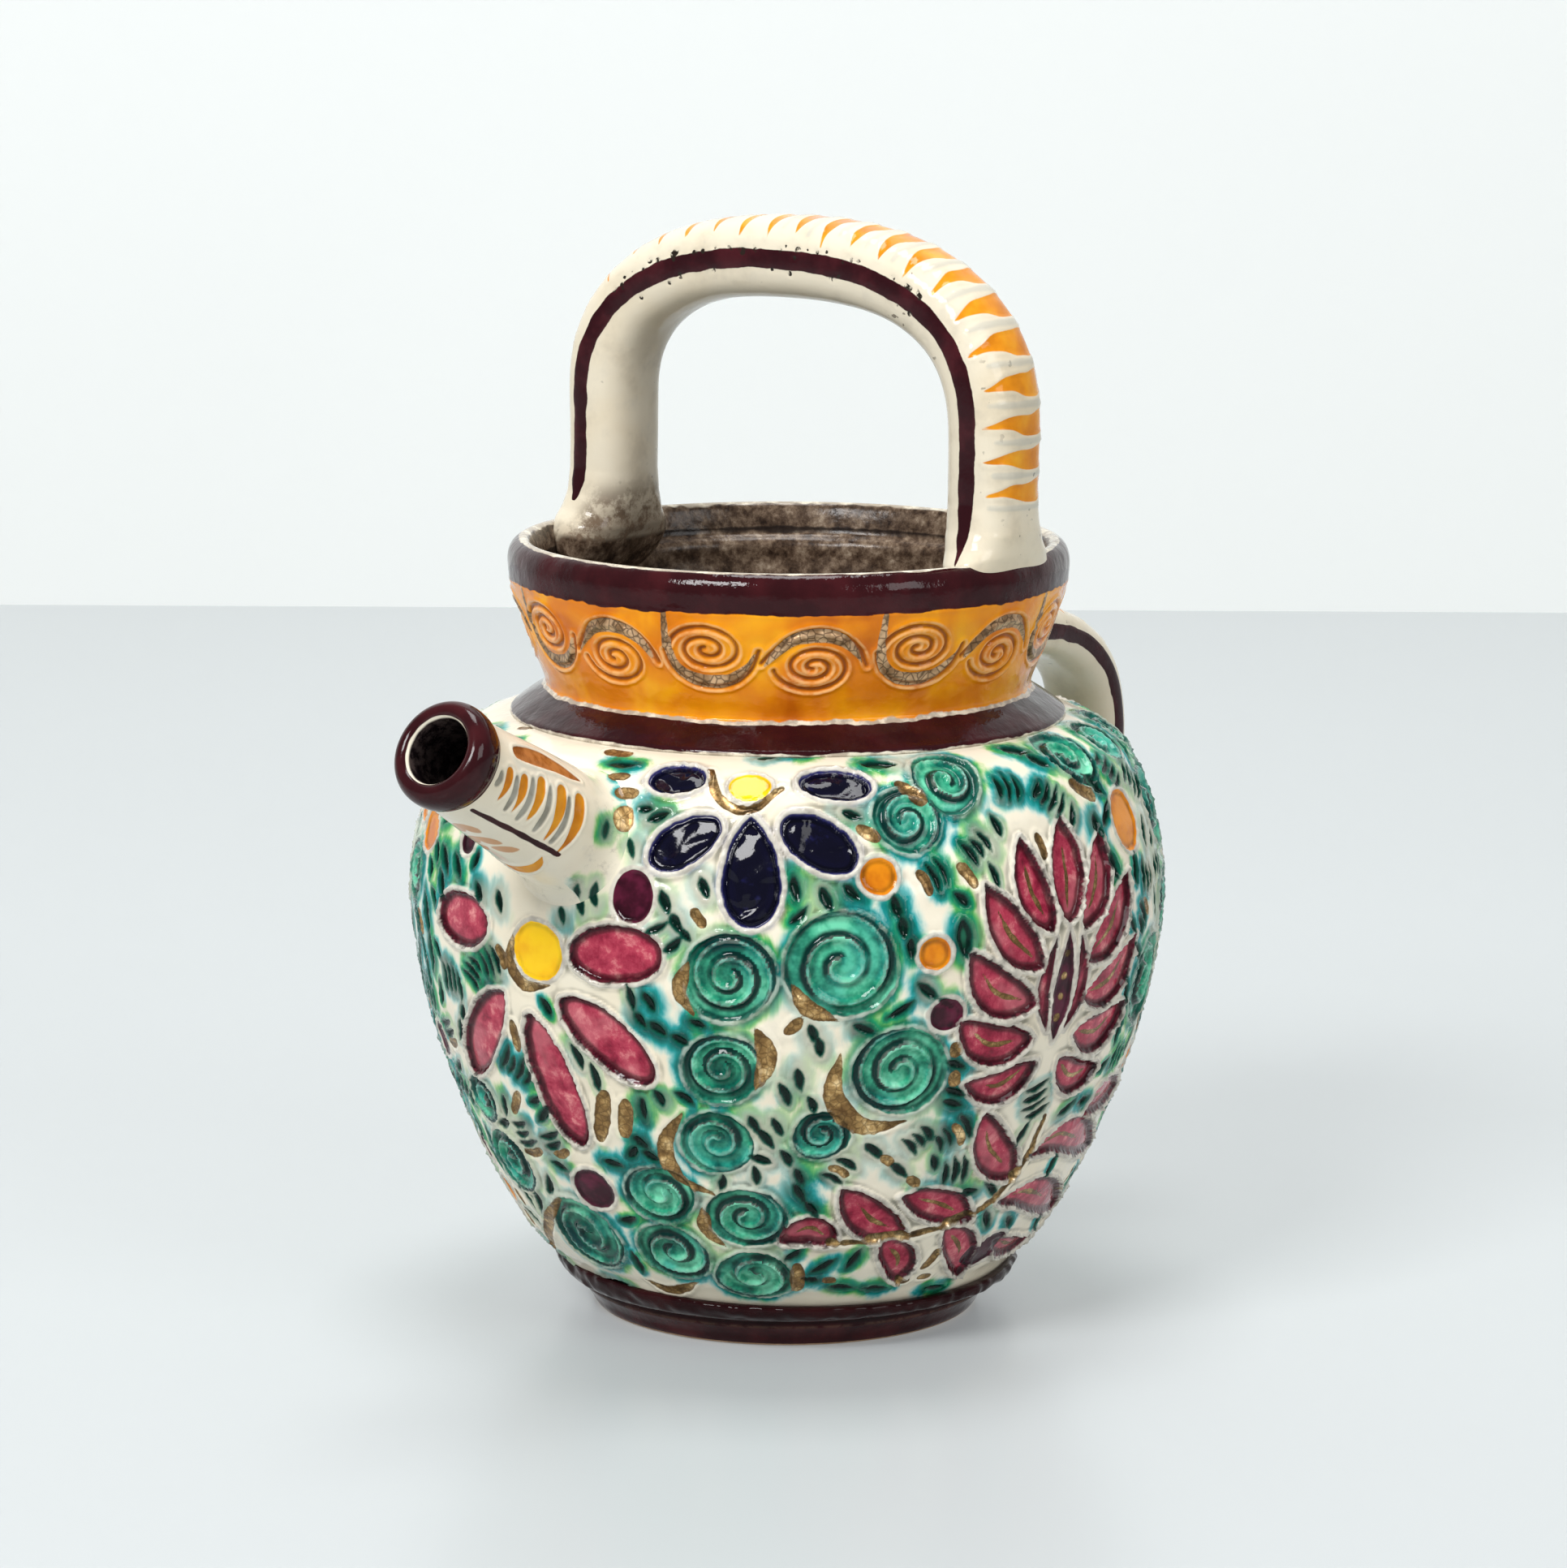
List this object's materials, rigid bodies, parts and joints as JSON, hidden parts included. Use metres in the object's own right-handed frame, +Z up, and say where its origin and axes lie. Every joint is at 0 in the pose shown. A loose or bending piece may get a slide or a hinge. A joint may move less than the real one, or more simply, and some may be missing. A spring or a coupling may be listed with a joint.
{
  "type": "earthenware jug",
  "caption": "Glazed earthenware jug with a round carved and painted belly, flared neck, fixed overhead handle, short tubular spout and ear handle.",
  "frame": {"origin": "centre of the standing ring, on the table", "axes": "+Z up along the axis of the jug, spout towards -Y, ear handle towards +Y, overhead handle along X"},
  "size_m": [0.1272, 0.1933, 0.1842],
  "materials": {
    "brown_glaze": "glossy dark maroon-brown glaze",
    "slip_joint": "fired slip, partly glazed",
    "decorated_glaze": "glossy cream glaze with carved and painted flowers, spirals and leaves, some gold lustre",
    "orange_glaze": "glossy orange glaze with carved scrolls and a dark brown rim",
    "spout_glaze": "glossy cream glaze with painted strokes and a brown lip",
    "cream_glaze": "glossy cream glaze",
    "handle_glaze": "glossy cream glaze with brown lines and orange strokes"
  },
  "bodies": {
    "root": {"foot_ring": "brown_glaze", "foot_slip_seam": "slip_joint", "body": "decorated_glaze", "neck_slip_seam": "slip_joint", "neck_collar": "orange_glaze", "spout": "spout_glaze", "spout_slip_fillet": "cream_glaze", "bail_handle": "handle_glaze", "bail_slip_fillet_left": "cream_glaze", "bail_slip_fillet_right": "cream_glaze", "ear_handle": "handle_glaze", "ear_slip_fillet_upper": "cream_glaze", "ear_slip_fillet_lower": "cream_glaze"}
  },
  "joints": []
}
